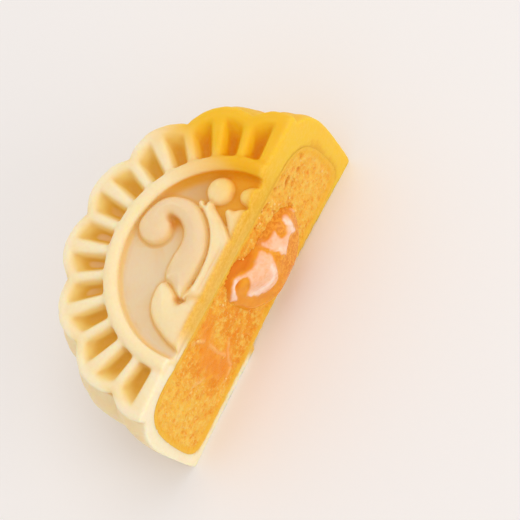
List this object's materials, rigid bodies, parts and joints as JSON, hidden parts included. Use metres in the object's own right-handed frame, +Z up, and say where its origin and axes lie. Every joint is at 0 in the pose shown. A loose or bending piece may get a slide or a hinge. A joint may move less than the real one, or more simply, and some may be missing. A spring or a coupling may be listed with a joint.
{
  "type": "mooncake half",
  "caption": "Half of a small round moulded mooncake with a petalled, ribbed rim and raised scrolls in a sunk field, cut to show its custard filling and runny centre.",
  "frame": {"origin": "middle of the bounding box in plan, on the flat underside of the sole", "axes": "+Z up out of the moulded top, +X along the cut towards the end with the raised bud, +Y from the cut into the cake, so the cut face looks to -Y"},
  "size_m": [0.0524, 0.0296, 0.022],
  "materials": {
    "dough_skin": "soft satin pale golden dough",
    "custard_filling": "grainy matt orange-yellow custard",
    "runny_centre": "wet glossy orange salted-egg custard"
  },
  "bodies": {
    "root": {"skin": "dough_skin", "custard": "custard_filling", "lava": "runny_centre"}
  },
  "joints": []
}
